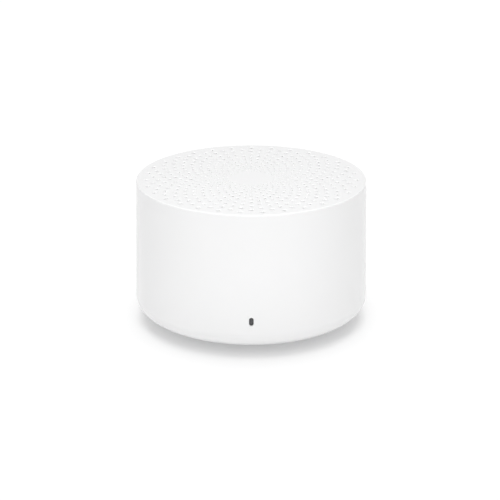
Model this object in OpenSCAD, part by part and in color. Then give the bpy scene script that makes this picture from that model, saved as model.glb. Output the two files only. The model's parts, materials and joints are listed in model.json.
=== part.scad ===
// Palm-sized round wireless speaker: one-piece white cup with a perforated flat top over an
// upward-facing driver, a snap-in base with a soft foot ring, and a power button underneath.
// Origin: centre of the footprint on the floor. Z is up. The front, with the status window, is -Y.
// Millimetres throughout.

/* [Housing] */
// Outer diameter of the cup, at its widest just above the rounded lower edge
body_d = 50.4; // [50.2:0.1:53]
// How much smaller the radius is at the top edge
taper = 0.5; // [0.2:0.05:0.6]
// Overall height from the floor to the top face
body_h = 31.6; // [31.4:0.1:34]
// Thickness of the side wall at its widest
wall = 1.7; // [1.6:0.05:1.8]
// Thickness of the perforated top
top_t = 0.8; // [0.7:0.1:1.6]
// Radius of the rounded lower edge
edge_r = 3.6; // [3.2:0.1:3.8]
// Height of the cup's lower rim above the floor
rim_z = 2.4; // [2.3:0.05:2.5]
// Radius of the rounded top edge
top_round = 0.3; // [0.1:0.05:0.4]

/* [Perforation] */
// Holes in one ring
holes_per_ring = 31; // [20:1:32]
// Number of rings
ring_count = 17; // [8:1:17]
// Radius of the outermost ring
ring_max_r = 22.5; // [22:0.05:22.5]
// Radial distance between the two outermost rings
ring_step_out = 1.29; // [1.25:0.01:1.3]
// Radial distance between the two innermost rings
ring_step_in = 0.88; // [0.8:0.01:0.89]
// Hole diameter in the outermost ring
hole_d_max = 0.95; // [0.7:0.05:1.1]
// Hole diameter in the innermost ring
hole_d_min = 0.4; // [0.34:0.02:0.46]

/* [Status window] */
// Height of the window's centre above the floor
window_z = 8.5; // [8.3:0.1:8.7]
// Width of the window
window_w = 0.92; // [0.8:0.02:1.2]
// Height of the window
window_h = 1.8; // [1.6:0.1:2.2]

/* [Base and foot] */
// Height of the base plate's edge that shows under the rim
base_edge = 0.4; // [0.3:0.05:0.5]
// Outer radius of the foot ring
foot_ro = 17.4; // [15.5:0.1:19]
// Inner radius of the foot ring
foot_ri = 12; // [9:0.5:14]
// Radius of the power button's cap
button_r = 4.5; // [3.5:0.1:4.6]

/* [Driver] */
// Outer radius of the basket's rim
basket_r = 17.4; // [17.3:0.05:17.45]
// Radius of the yoke cup
yoke_r = 9; // [8.8:0.1:9.4]
// Outer radius of the magnet
magnet_r = 5.6; // [5:0.1:5.8]
// Inner radius of the coil former
former_ri = 6.35; // [6.3:0.01:6.36]

/* [Electronics] */
// Radius of the circuit board
board_r = 18.2; // [18.1:0.1:18.6]
// Battery length along X
cell_l = 29; // [24:0.5:29]
// Battery width along Y
cell_w = 24; // [20:0.5:24]
// Battery thickness
cell_t = 5.5; // [4:0.1:5.5]

/* [Hidden] */
$fn = 96;

body_r = body_d / 2;
in_r = body_r - wall;
top_in_z = body_h - top_t;
top_r = body_r - taper;
rim_ri = body_r - 3.7;
rim_ro = body_r - 2.7;
arc_r = body_r - edge_r;
arc_z = rim_z + sqrt(edge_r * edge_r - (rim_ro - arc_r) * (rim_ro - arc_r));
ledge_z = rim_z + 0.9;
mesh_t = 0.25;
mesh_z = top_in_z - mesh_t;
cup_z0 = 15.6;
cup_r = basket_r + 0.7;
cup_top = mesh_z - 1.3;
rim_top = cup_top - 0.25;
shelf_z = rim_top - 3.1;
yoke_top = rim_top - 5;
yoke_z = yoke_top - 6;
screw_r = 19.7;
post_r = 16.4;
tri = [60, 180, 300];
board_z = 5.8;
board_top = 6.8;
plug_h = 1.6;
plate_z = rim_z - base_edge;
usb_z = board_top + 1.25;
usb_y0 = 18.2;
usb_y1 = body_r - 1.2;

function ring_r(k) = ring_max_r - k * ring_step_out
  + (ring_step_out - ring_step_in) * k * (k - 1) / (2 * max(ring_count - 2, 1));
function hole_d(k) = hole_d_max + (hole_d_min - hole_d_max) * k / (ring_count - 1);
function hole_a(i, k) = (i + (k % 2 == 0 ? 0.5 : 0)) * 360 / holes_per_ring - 90;

// A flat ring or disc between two heights
module ring(ro, ri, z0, z1) {
  difference() {
    translate([0, 0, z0]) cylinder(h = z1 - z0, r = ro);
    if (ri > 0) translate([0, 0, z0 - 1]) cylinder(h = z1 - z0 + 2, r = ri);
  }
}

// A block given by its two corners
module block(a, b) {
  translate(a) cube([b[0] - a[0], b[1] - a[1], b[2] - a[2]]);
}

// A rectangle with rounded corners, centred
module rounded_rect(w, h, r) {
  square([w - 2 * r, h], center = true);
  square([w, h - 2 * r], center = true);
  for (x = [-1, 1], y = [-1, 1]) translate([x * (w / 2 - r), y * (h / 2 - r)]) circle(r = r);
}

// A plate with rounded corners, standing on z0
module rounded_plate(w, h, r, z0, t) {
  translate([0, 0, z0]) linear_extrude(height = t) rounded_rect(w, h, r);
}

// A round rod between two points
module rod(p, q, r) {
  d = q - p;
  l = norm(d);
  translate(p) rotate([0, acos(d[2] / l), atan2(d[1], d[0])]) cylinder(h = l, r = r, $fn = 24);
}

// A wire through a list of points, with round elbows
module wire(pts, r) {
  for (i = [0:len(pts) - 2]) rod(pts[i], pts[i + 1], r);
  for (i = [1:len(pts) - 2]) translate(pts[i]) sphere(r = r * 1.05, $fn = 24);
}

// Cup housing: side wall with a rounded lower edge and an inner snap ledge, perforated top
module outer_shell() {
  color("white") difference() {
    union() {
      rotate_extrude() shell_profile();
      translate([0, 0, top_in_z]) linear_extrude(height = top_t) perforated_disc();
      for (a = tri) rotate([0, 0, a]) shell_boss();
    }
    for (a = tri) rotate([0, 0, a]) translate([screw_r, 0, 23.4]) cylinder(h = 4.8, r = 0.65);
    window_cut(-body_r - 1, -in_r + 1, 0);
    usb_cut();
  }
}

// Half section of the cup's wall, with the rounded top edge
module shell_profile() {
  difference() {
    union() {
      polygon([[in_r, arc_z - 0.01], [body_r, arc_z - 0.01], [top_r, body_h - top_round],
        [top_r - top_round, body_h], [in_r - 0.4, body_h], [in_r - 0.4, top_in_z], [in_r, top_in_z]]);
      intersection() {
        translate([top_r - top_round, body_h - top_round]) circle(r = top_round, $fn = 64);
        translate([top_r - top_round, body_h - top_round]) square(2 * top_round);
      }
      intersection() {
        translate([arc_r, arc_z]) circle(r = edge_r);
        translate([rim_ri, rim_z]) square([body_r - rim_ri + 1, arc_z - rim_z]);
      }
    }
    polygon([[rim_ri - 1, ledge_z], [rim_ri + 1.1, ledge_z], [in_r, ledge_z + 1.4],
      [in_r, arc_z + 1], [rim_ri - 1, arc_z + 1]]);
  }
}

// The top's flat disc with its staggered rings of holes
module perforated_disc() {
  difference() {
    circle(r = in_r - 0.2);
    for (k = [0:ring_count - 1], i = [0:holes_per_ring - 1])
      rotate(hole_a(i, k)) translate([ring_r(k), 0]) circle(d = hole_d(k), $fn = 24);
  }
}

// A screw boss joined to the wall by a rib
module shell_boss() {
  translate([screw_r, 0, 24]) cylinder(h = mesh_z - 24.9, r = 1.4);
  block([screw_r, -0.7, 24], [in_r + 0.3, 0.7, mesh_z - 0.9]);
}

// The window's upright slot through the front wall
module window_cut(y0, y1, gap) {
  translate([0, y1, window_z]) rotate([90, 0, 0]) linear_extrude(height = y1 - y0)
    window_shape(gap);
}

// Outline of the status window
module window_shape(gap) {
  r = window_w / 2 - gap;
  c = window_h / 2 - window_w / 2;
  translate([0, c]) circle(r = r, $fn = 32);
  translate([0, -c]) circle(r = r, $fn = 32);
  square([2 * r, 2 * c], center = true);
}

// The rear opening around the charging port
module usb_cut() {
  translate([0, body_r + 1, usb_z]) rotate([90, 0, 0]) linear_extrude(height = 4)
    rounded_rect(9.2, 3.4, 1.1);
}

// Light-grey acoustic cloth under the holes
module acoustic_mesh() {
  color([0.86, 0.86, 0.87]) ring(in_r - 0.2, 0, mesh_z, top_in_z);
}

// Smoked lens with a flange behind the wall and a nose filling the slot
module status_lens() {
  color([0.25, 0.25, 0.27]) {
    window_cut(-body_r + 0.2, -in_r + 0.3, 0.01);
    intersection() {
      block([-2, -in_r - 0.5, window_z - 1.6], [2, -in_r + 1.6, window_z + 1.9]);
      translate([0, 0, window_z - 2]) cylinder(h = 4.5, r = in_r - 0.04);
    }
    block([-0.9, -in_r + 0.5, board_top + 0.05], [0.9, -board_r - 0.1, board_top + 1.05]);
  }
}

// Base plate with the snap hooks, the recess for the foot ring and the button's opening
module base_cover() {
  color([0.9, 0.9, 0.91]) {
    difference() {
      union() {
        translate([0, 0, plate_z]) cylinder(h = 0.15, r1 = rim_ro - 0.55, r2 = rim_ro - 0.4);
        ring(rim_ro - 0.4, 0, plate_z + 0.15, rim_z);
        ring(rim_ri - 0.15, 0, rim_z - 0.1, ledge_z);
        ring(button_r + 2.2, button_r + 1.4, ledge_z - 0.1, ledge_z + 1.1);
      }
      ring(foot_ro + 0.1, foot_ri - 0.1, plate_z - 1, plate_z + 0.4);
      translate([0, 0, -1]) cylinder(h = 6, r = button_r + 0.25);
    }
    intersection() {
      rotate_extrude() polygon([[rim_ri - 1.4, ledge_z - 0.1], [rim_ri - 0.4, ledge_z - 0.1],
        [rim_ri - 0.4, ledge_z + 0.1], [rim_ri + 0.7, ledge_z + 0.1], [rim_ri - 0.4, ledge_z + 1.5],
        [rim_ri - 1.4, ledge_z + 1.5]]);
      for (a = [45, 135, 225, 315]) rotate([0, 0, a]) block([15, -2.5, 0], [26, 2.5, 6]);
    }
  }
}

// Silicone foot ring
module foot_pad() {
  color([0.8, 0.8, 0.82]) difference() {
    union() {
      ring(foot_ro, 0, 0.15, plate_z + 0.4);
      cylinder(h = 0.151, r1 = foot_ro - 0.15, r2 = foot_ro);
    }
    translate([0, 0, -1]) cylinder(h = plate_z + 2, r = foot_ri);
    translate([0, 0, -0.01]) cylinder(h = 0.16, r1 = foot_ri + 0.16, r2 = foot_ri);
  }
}

// Power button: dished cap, retaining flange and stem
module power_button() {
  color([0.88, 0.88, 0.89]) difference() {
    union() {
      translate([0, 0, plate_z]) cylinder(h = 0.2, r1 = button_r - 0.2, r2 = button_r);
      ring(button_r, 0, plate_z + 0.19, ledge_z + 0.2);
      ring(button_r + 1.1, 0, ledge_z + 0.1, ledge_z + 0.7);
      ring(1, 0, ledge_z + 0.6, board_z - 1.75);
    }
    translate([0, 0, plate_z - 23.8]) sphere(r = 24);
  }
}

// Sealed rear chamber that carries the driver, with screw ears and board posts
module speaker_cup() {
  color([0.12, 0.12, 0.13]) difference() {
    union() {
      ring(cup_r, 0, cup_z0, cup_top);
      for (a = tri) rotate([0, 0, a]) {
        block([cup_r - 1, -1.5, 22.4], [screw_r, 1.5, 24]);
        translate([screw_r, 0, 22.4]) cylinder(h = 1.6, r = 1.5);
        translate([post_r, 0, board_top]) cylinder(h = cup_z0 - board_top + 0.1, r = 1.5);
      }
    }
    translate([0, 0, cup_z0 + 1.2]) cylinder(h = 20, r = basket_r - 0.5);
    translate([0, 0, rim_top - 0.7]) cylinder(h = 5, r = basket_r + 0.05);
    for (a = tri) rotate([0, 0, a]) {
      translate([screw_r, 0, 20]) cylinder(h = 6, r = 0.75);
      translate([post_r, 0, board_top - 1]) cylinder(h = 6, r = 0.65);
    }
    rotate([0, 0, 240]) translate([15.4, 0, cup_z0 - 1]) cylinder(h = 4, r = 1.1);
  }
}

// Foam ring that seals the driver to the underside of the cloth
module cup_gasket() {
  color([0.2, 0.2, 0.2]) ring(cup_r - 0.1, basket_r - 1.5, cup_top, mesh_z);
}

// Three pan-head screws through the chamber's ears
module cup_screws() {
  color([0.6, 0.6, 0.62]) for (a = tri) rotate([0, 0, a]) translate([screw_r, 0, 22.4])
    rotate([180, 0, 0]) pan_screw(1.15, 0.8, 0.65, 5);
}

// A pan-head screw: head above z = 0, shank below, cross slot in the head
module pan_screw(head_r, head_h, shank_r, shank_l) {
  difference() {
    union() {
      cylinder(h = head_h * 0.6, r = head_r);
      translate([0, 0, head_h * 0.6]) cylinder(h = head_h * 0.4, r1 = head_r, r2 = head_r * 0.75);
      translate([0, 0, -shank_l]) cylinder(h = shank_l + 0.1, r = shank_r);
    }
    for (a = [0, 90]) rotate([0, 0, a]) block([-0.6, -0.12, head_h * 0.5], [0.6, 0.12, 3]);
  }
}

// Stamped steel basket with four openings behind the cone
module driver_basket() {
  color([0.16, 0.16, 0.17]) difference() {
    rotate_extrude() polygon([[yoke_r - 0.8, yoke_top], [10.6, yoke_top], [10.6, shelf_z - 0.7],
      [13.1, shelf_z - 0.7], [basket_r - 1.35, rim_top - 0.7], [basket_r, rim_top - 0.7],
      [basket_r, rim_top], [basket_r - 1.9, rim_top], [12.8, shelf_z], [9.9, shelf_z],
      [9.9, yoke_top + 0.7], [yoke_r - 0.8, yoke_top + 0.7]]);
    for (a = [0, 90, 180, 270]) rotate([0, 0, a + 15])
      block([12.9, -3.5, shelf_z + 0.3], [18, 3.5, rim_top - 0.9]);
  }
}

// Steel yoke cup of the motor
module driver_yoke() {
  color([0.55, 0.55, 0.57]) {
    ring(yoke_r, 0, yoke_z, yoke_z + 1.5);
    ring(yoke_r, yoke_r - 1.6, yoke_z + 1.4, yoke_top);
  }
}

// Neodymium disc magnet
module driver_magnet() {
  color([0.7, 0.7, 0.72]) ring(magnet_r, 0, yoke_z + 1.5, yoke_z + 4.5);
}

// Steel pole plate on the magnet
module pole_plate() {
  color([0.6, 0.6, 0.62]) ring(magnet_r + 0.3, 0, yoke_z + 4.5, yoke_top);
}

// Thin former that carries the coil
module coil_former() {
  color([0.75, 0.55, 0.3]) ring(former_ri + 0.15, former_ri, yoke_top - 2.6, shelf_z + 1.1);
}

// Copper winding on the former
module voice_coil() {
  color([0.8, 0.45, 0.2]) ring(former_ri + 0.5, former_ri + 0.15, yoke_top - 2.1, yoke_top + 0.6);
}

// Corrugated centring disc
module driver_spider() {
  r0 = former_ri + 0.15;
  z = shelf_z + 0.25;
  color([0.85, 0.75, 0.45]) rotate_extrude() polygon([[r0, z - 0.2], [r0 + 0.5, z - 0.2],
    [r0 + 1.2, z + 0.2], [r0 + 1.9, z - 0.2], [r0 + 2.6, z + 0.2], [r0 + 3.3, z - 0.2],
    [r0 + 4, z + 0.1], [10.9, z - 0.25], [12.5, z - 0.25], [12.5, z - 0.05], [11, z - 0.05],
    [r0 + 4, z + 0.3], [r0 + 3.3, z], [r0 + 2.6, z + 0.4], [r0 + 1.9, z], [r0 + 1.2, z + 0.4],
    [r0 + 0.5, z], [r0, z]]);
}

// Shallow paper cone
module driver_cone() {
  r0 = former_ri + 0.15;
  color([0.1, 0.1, 0.11]) rotate_extrude() polygon([[r0, shelf_z + 0.7], [r0 + 0.3, shelf_z + 0.7],
    [12.6, rim_top - 0.3], [13.2, rim_top - 0.3], [13.2, rim_top], [12.5, rim_top],
    [r0 + 0.2, shelf_z + 1.1], [r0, shelf_z + 1.1]]);
}

// Rubber roll surround
module driver_surround() {
  color([0.06, 0.06, 0.06]) rotate_extrude() {
    difference() {
      translate([14.4, rim_top - 0.4]) circle(r = 1.25, $fn = 64);
      translate([14.4, rim_top - 0.4]) circle(r = 1, $fn = 64);
      translate([12, rim_top - 3]) square([5, 3]);
    }
    translate([12.4, rim_top]) square([1.05, 0.25]);
    translate([15.35, rim_top]) square([basket_r - 15.5, 0.25]);
  }
}

// Domed dust cap
module dust_cap() {
  color([0.09, 0.09, 0.1]) intersection() {
    difference() {
      translate([0, 0, shelf_z + 1.3 - 11.4]) sphere(r = 13.4);
      translate([0, 0, shelf_z + 1.3 - 11.4]) sphere(r = 13.15);
    }
    translate([0, 0, shelf_z + 1.25]) cylinder(h = 5, r = 8);
  }
}

// Solder terminal plate under the basket's shelf
module terminal_board() {
  color([0.1, 0.35, 0.2]) rotate([0, 0, 240]) difference() {
    block([10.7, -3, shelf_z - 1.4], [13.6, 3, shelf_z - 0.7]);
    for (y = [-1.6, 1.6]) translate([12.6, y, shelf_z - 3]) cylinder(h = 4, r = 0.35, $fn = 24);
  }
}

// Two wires from the terminals, through the chamber's floor, to the board
module speaker_leads() {
  color([0.7, 0.1, 0.1]) rotate([0, 0, 240]) for (s = [-1, 1])
    wire([[12.6, s * 1.6, shelf_z - 1.4], [12.6, s * 1.6, shelf_z - 2.4], [15.4, s * 0.5, 20.5],
      [15.4, s * 0.5, 9.3], [13.9, s * 1, 8.95], [13.9, s * 1, board_top + plug_h]], 0.38);
}

// Lithium pouch cell
module battery_cell() {
  color([0.75, 0.76, 0.78]) difference() {
    rounded_plate(cell_l, cell_w, 1.2, cup_z0 - 0.5 - cell_t, cell_t);
    block([cell_l / 2 - 2, -8, cup_z0 - 2], [cell_l / 2 + 1, 8, cup_z0]);
  }
}

// Protection board along the cell's edge
module battery_board() {
  color([0.1, 0.3, 0.5]) block([cell_l / 2 - 1.9, -7.5, cup_z0 - 1.9], [cell_l / 2 - 0.1, 7.5, cup_z0 - 0.9]);
}

// Adhesive foam between the cell and the chamber's floor
module battery_pad() {
  color([0.15, 0.15, 0.15]) rounded_plate(22, 20, 1, cup_z0 - 0.5, 0.5);
}

// Two wires from the protection board down to their plug
module battery_leads() {
  color([0.1, 0.1, 0.1]) for (s = [-1, 1])
    wire([[cell_l / 2 - 0.1, s * 1, cup_z0 - 1.4], [cell_l / 2 + 1, s * 1, cup_z0 - 1.4],
      [cell_l / 2 + 1, s * 1, 8.95], [13.6, s * 1, 8.95], [13.6, s * 1, board_top + plug_h]], 0.38);
}

// Round circuit board with a tab under the charging port
module circuit_board() {
  color([0.05, 0.3, 0.15]) difference() {
    union() {
      ring(board_r, 0, board_z, board_top);
      block([-5.5, 10, board_z], [5.5, usb_y1 - 1.8, board_top]);
    }
    for (a = tri) rotate([0, 0, a]) translate([post_r, 0, 4]) cylinder(h = 4, r = 0.8);
  }
}

// Three screws that hold the board to the posts
module board_screws() {
  color([0.6, 0.6, 0.62]) for (a = tri) rotate([0, 0, a]) translate([post_r, 0, board_z])
    rotate([180, 0, 0]) pan_screw(1.3, 0.8, 0.65, 5.2);
}

// Metal shell of the charging port
module usb_shell() {
  color([0.75, 0.75, 0.77]) difference() {
    translate([0, usb_y1, usb_z]) rotate([90, 0, 0]) linear_extrude(height = usb_y1 - usb_y0)
      port_outline(7.5, 2.5);
    translate([0, usb_y1 + 1, usb_z]) rotate([90, 0, 0]) linear_extrude(height = usb_y1 - usb_y0 + 0.7)
      port_outline(6.9, 1.9);
  }
}

// Outline of the port, with its two lower corners cut off
module port_outline(w, h) {
  polygon([[-w / 2, h / 2], [w / 2, h / 2], [w / 2, -h / 6], [w / 2 - h / 3, -h / 2],
    [-w / 2 + h / 3, -h / 2], [-w / 2, -h / 6]]);
}

// Contact tongue inside the port
module usb_tongue() {
  color([0.1, 0.1, 0.1]) {
    block([-1.9, usb_y0 + 0.3, usb_z + 0.1], [1.9, usb_y1 - 0.7, usb_z + 0.7]);
    block([-3, usb_y0 + 0.3, usb_z - 0.3], [3, usb_y0 + 1.3, usb_z + 0.9]);
  }
}

// Wireless and audio processor
module bluetooth_chip() {
  color([0.08, 0.08, 0.09]) block([-3.5, -3.5, board_top], [3.5, 3.5, board_top + 0.9]);
}

// Audio amplifier
module amplifier_chip() {
  color([0.08, 0.08, 0.09]) block([-10.5, -6, board_top], [-6.5, -2, board_top + 0.8]);
}

// Charge controller
module charger_chip() {
  color([0.08, 0.08, 0.09]) block([4.4, 10, board_top], [7.4, 12, board_top + 0.9]);
}

// Two shielded power inductors
module power_inductors() {
  color([0.25, 0.25, 0.26]) for (y = [2.5, 8]) translate([-9, y, board_top]) {
    rounded_plate(4, 4, 0.6, 0, 1.8);
  }
}

// Ceramic capacitors
module chip_capacitors() {
  color([0.7, 0.6, 0.45]) for (i = [0:4])
    block([-4 + i * 2, 7, board_top], [-3.2 + i * 2, 8.6, board_top + 0.8]);
}

// Clock crystal in a metal can
module clock_crystal() {
  color([0.8, 0.8, 0.8]) rounded_plate_at([6.5, -6, board_top], 3.2, 2.5, 0.4, 0.8);
}

// A rounded plate placed at a point
module rounded_plate_at(p, w, h, r, t) {
  translate(p) rounded_plate(w, h, r, 0, t);
}

// Plug and socket of the battery wires
module battery_header() {
  color([0.9, 0.9, 0.85]) block([11, -2.5, board_top], [15, 2.5, board_top + plug_h]);
}

// Plug and socket of the driver's wires
module speaker_header() {
  color([0.9, 0.9, 0.85]) rotate([0, 0, 240]) block([12, -2.5, board_top], [15.2, 2.5, board_top + plug_h]);
}

// Body of the push switch under the board
module tact_switch() {
  color([0.7, 0.7, 0.7]) difference() {
    block([-2.25, -2.25, board_z - 1.3], [2.25, 2.25, board_z]);
    translate([0, 0, board_z - 2]) cylinder(h = 1.5, r = 1.35);
  }
}

// Moving plunger of the push switch
module switch_plunger() {
  color([0.1, 0.1, 0.1]) ring(1.1, 0, board_z - 1.75, board_z - 0.9);
}

// Status lamp facing the lens
module status_led() {
  color([0.95, 0.95, 0.9]) block([-0.9, -board_r + 0.2, board_top], [0.9, -board_r + 1.3, board_top + 0.9]);
}

outer_shell();
acoustic_mesh();
status_lens();
base_cover();
foot_pad();
power_button();
speaker_cup();
cup_gasket();
cup_screws();
driver_basket();
driver_yoke();
driver_magnet();
pole_plate();
coil_former();
voice_coil();
driver_spider();
driver_cone();
driver_surround();
dust_cap();
terminal_board();
speaker_leads();
battery_cell();
battery_board();
battery_pad();
battery_leads();
circuit_board();
board_screws();
usb_shell();
usb_tongue();
bluetooth_chip();
amplifier_chip();
charger_chip();
power_inductors();
chip_capacitors();
clock_crystal();
battery_header();
speaker_header();
tact_switch();
switch_plunger();
status_led();
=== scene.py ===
import json
import math

import bpy
import numpy as np
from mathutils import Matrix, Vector
from mathutils.geometry import delaunay_2d_cdt


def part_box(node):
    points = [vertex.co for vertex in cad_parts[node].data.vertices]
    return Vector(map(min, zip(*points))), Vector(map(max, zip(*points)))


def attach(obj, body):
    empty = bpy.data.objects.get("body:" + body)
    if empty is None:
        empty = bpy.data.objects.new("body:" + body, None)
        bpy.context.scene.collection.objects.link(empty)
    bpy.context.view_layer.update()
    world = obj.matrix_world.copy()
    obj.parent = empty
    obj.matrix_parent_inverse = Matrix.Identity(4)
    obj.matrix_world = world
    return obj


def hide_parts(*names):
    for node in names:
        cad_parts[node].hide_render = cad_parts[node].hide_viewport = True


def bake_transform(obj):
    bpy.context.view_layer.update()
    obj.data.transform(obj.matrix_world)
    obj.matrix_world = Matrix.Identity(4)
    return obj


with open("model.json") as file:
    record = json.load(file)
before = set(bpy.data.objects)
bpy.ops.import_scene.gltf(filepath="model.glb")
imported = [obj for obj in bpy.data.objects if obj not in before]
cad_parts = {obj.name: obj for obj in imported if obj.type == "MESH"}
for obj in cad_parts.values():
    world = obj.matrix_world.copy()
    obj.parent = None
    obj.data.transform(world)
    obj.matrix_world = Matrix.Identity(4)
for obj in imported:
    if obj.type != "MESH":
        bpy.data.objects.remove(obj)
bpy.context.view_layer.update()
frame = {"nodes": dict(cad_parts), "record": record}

MM = 0.001
COLUMNS = 256  # facets round the largest turned pieces

# ---------------------------------------------------------------- sizes, in millimetres, from the CAD


def cad(node):
    """The two corners of a CAD node's box, in millimetres."""
    lo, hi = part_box(node)
    return lo / MM, hi / MM


# the cup: widest radius, how much narrower its top is, wall, rounded lower edge and the rim it ends in
SHELL_LO, SHELL_HI = cad("outer_shell")
BODY_R = round(SHELL_HI.y, 2)
TAPER = 0.5
WALL = 1.7
EDGE_R = 3.6
TOP_R = BODY_R - TAPER
TOP_Z = SHELL_HI.z
RIM_Z = SHELL_LO.z
IN_R = BODY_R - WALL
TOP_IN_Z = cad("acoustic_mesh")[1].z  # the cloth lies against the underside of the top
RIM_RI, RIM_RO = BODY_R - 3.7, BODY_R - 2.7
ARC_R = BODY_R - EDGE_R
ARC_Z = RIM_Z + math.sqrt(EDGE_R**2 - (RIM_RO - ARC_R) ** 2)
LEDGE_Z = RIM_Z + 0.9
TOP_ROUND = 0.3
WALL_TOP = TOP_Z - TOP_ROUND
TILT = math.atan2(TAPER, WALL_TOP - ARC_Z)  # how far the wall's normal points up

# the sound holes: how many in a ring, rings, the outermost ring's radius, the outermost and innermost
# steps between rings, and the outermost and innermost diameters
HOLES, RINGS, RING_MAX, STEP_OUT, STEP_IN = 31, 17, 22.5, 1.29, 0.88
HOLE_D_MAX, HOLE_D_MIN = 0.95, 0.4
LIP_SHARE = 0.64  # radius of a hole's rounded mouth, as a share of the hole's radius

WINDOW_Z, WINDOW_W, WINDOW_H = 8.5, 0.92, 1.8
PORT_Z, PORT_W, PORT_H, PORT_CORNER = 8.05, 9.2, 3.4, 1.1
SCREW_R, SCREW_ANGLES = 19.7, (60, 180, 300)

SLOT = {row["node"]: row["material_slot"] for row in frame["record"]["subparts"]}
BODY = {node: body for body, nodes in frame["record"]["behaviour"]["bodies"].items() for node in nodes}


def wall_r(z):
    """Outer radius of the tapered wall."""
    return BODY_R - TAPER * (z - ARC_Z) / (WALL_TOP - ARC_Z)


# ---------------------------------------------------------------- mesh tools


class Shape:
    """Points with one normal each, in millimetres, and the faces that join them."""

    def __init__(self):
        self.co, self.no, self.faces, self.seen = [], [], [], {}

    def v(self, co, no):
        """The index of the point with this place and normal, which is added if it isn't there."""
        key = tuple(round(x * 5000) for x in co) + tuple(round(x * 20) for x in no)
        if key not in self.seen:
            self.seen[key] = len(self.co)
            self.co.append(tuple(co))
            self.no.append(tuple(no))
        return self.seen[key]

    def f(self, *ids):
        """Adds a face, unless its points fall together."""
        kept = [a for a, b in zip(ids, ids[1:] + ids[:1]) if a != b]
        if len(set(kept)) >= 3:
            self.faces.append(kept)

    def lathe(self, profile, columns=COLUMNS, arc=None, at=(0, 0)):
        """Turns (r, z, nr, nz) points round an axis along Z, all the way or over an arc with closed ends.

        The profile runs counter-clockwise, seen with r to the right."""
        first, last = arc or (0, math.tau)

        def point(p, k, normal=None):
            """Profile point p at column k."""
            r, z, nr, nz = p
            a = first + (last - first) * (k if arc else k % columns) / columns
            c, s = math.cos(a), math.sin(a)
            return self.v((at[0] + r * c, at[1] + r * s, z), normal or (nr * c, nr * s, nz))

        for p, q in zip(profile, profile[1:]):
            if math.hypot(p[0] - q[0], p[1] - q[1]) < 1e-6:
                continue
            for j in range(columns):
                self.f(point(p, j), point(p, j + 1), point(q, j + 1), point(q, j))
        if arc:
            self.f(*[point(p, 0, (math.sin(first), -math.cos(first), 0)) for p in profile[:-1]])
            self.f(*[point(p, columns, (-math.sin(last), math.cos(last), 0)) for p in profile[-2::-1]])

    def build(self, name, node, stands=True, rides=True):
        """Makes the object, with the material, slot and body of the CAD node."""
        mesh = bpy.data.meshes.new(name)
        mesh.from_pydata([Vector(c) * MM for c in self.co], [], self.faces)
        mesh.polygons.foreach_set("use_smooth", [True] * len(mesh.polygons))
        mesh.normals_split_custom_set_from_vertices([Vector(n).normalized() for n in self.no])
        return finished(name, mesh, node, stands, rides)


def finished(name, mesh, node, stands=True, rides=True):
    """Puts the mesh in the scene on its CAD node's body. It replaces the node if it stands for it."""
    obj = bpy.data.objects.new(name, mesh)
    bpy.context.scene.collection.objects.link(obj)
    mesh.materials.append(MAT[SLOT[node]])
    if rides:
        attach(obj, BODY[node])
    if stands:
        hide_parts(node)
    return obj


def rounded(corners, steps=4, closed=True):
    """(r, z, radius) corners, counter-clockwise, as (r, z, nr, nz) points with each corner rounded."""
    out, n = [], len(corners)
    for i, (x, y, rad) in enumerate(corners):
        if not closed and i in (0, n - 1):
            (ax, ay, _), (bx, by, _) = corners[:2] if i == 0 else corners[-2:]
            d = math.hypot(bx - ax, by - ay)
            out.append((x, y, (by - ay) / d, -(bx - ax) / d))
            continue
        px, py, _ = corners[i - 1]
        qx, qy, _ = corners[(i + 1) % n]
        u, w = math.hypot(x - px, y - py), math.hypot(qx - x, qy - y)
        ux, uy, wx, wy = (x - px) / u, (y - py) / u, (qx - x) / w, (qy - y) / w
        turn = math.atan2(ux * wy - uy * wx, ux * wx + uy * wy)
        if rad <= 0 or abs(turn) < 1e-3:
            out += [(x, y, uy, -ux), (x, y, wy, -wx)]
            continue
        t = min(rad * math.tan(abs(turn) / 2), u * 0.49, w * 0.49)
        rad = t / math.tan(abs(turn) / 2)
        side = 1 if turn > 0 else -1
        cx, cy = x - ux * t - uy * rad * side, y - uy * t + ux * rad * side
        a0 = math.atan2(-ux, uy)
        for k in range(steps + 1):
            a = a0 + turn * k / steps
            nx, ny = math.cos(a), math.sin(a)
            out.append((cx + nx * rad * side, cy + ny * rad * side, nx, ny))
    return out + out[:1] if closed else out


def ribbon(path, t):
    """Closed profile of a thin sheet, t thick, along a path of (r, z) points that runs outwards."""
    normals = []
    for i in range(len(path)):
        (ax, ay), (bx, by) = path[max(i - 1, 0)], path[min(i + 1, len(path) - 1)]
        d = math.hypot(bx - ax, by - ay)
        normals.append(((by - ay) / d, -(bx - ax) / d))
    low = [(x + nx * t / 2, y + ny * t / 2, nx, ny) for (x, y), (nx, ny) in zip(path, normals)]
    top = [(x - nx * t / 2, y - ny * t / 2, -nx, -ny) for (x, y), (nx, ny) in zip(path, normals)]
    return low + top[::-1] + low[:1]


def turned(name, node, corners, columns=128, steps=4, **kw):
    """A piece turned from a closed profile whose corners are rounded."""
    shape = Shape()
    shape.lathe(rounded(corners, steps), columns)
    return shape.build(name, node, **kw)


def outline(w, h, corner, steps=8):
    """A rectangle with round corners, centred, counter-clockwise."""
    out = []
    for cx, cy, a0 in ((1, 1, 0), (-1, 1, 90), (-1, -1, 180), (1, -1, 270)):
        for k in range(steps + 1):
            a = math.radians(a0 + 90 * k / steps)
            out.append((cx * (w / 2 - corner) + corner * math.cos(a),
                        cy * (h / 2 - corner) + corner * math.sin(a)))
    return out


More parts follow.
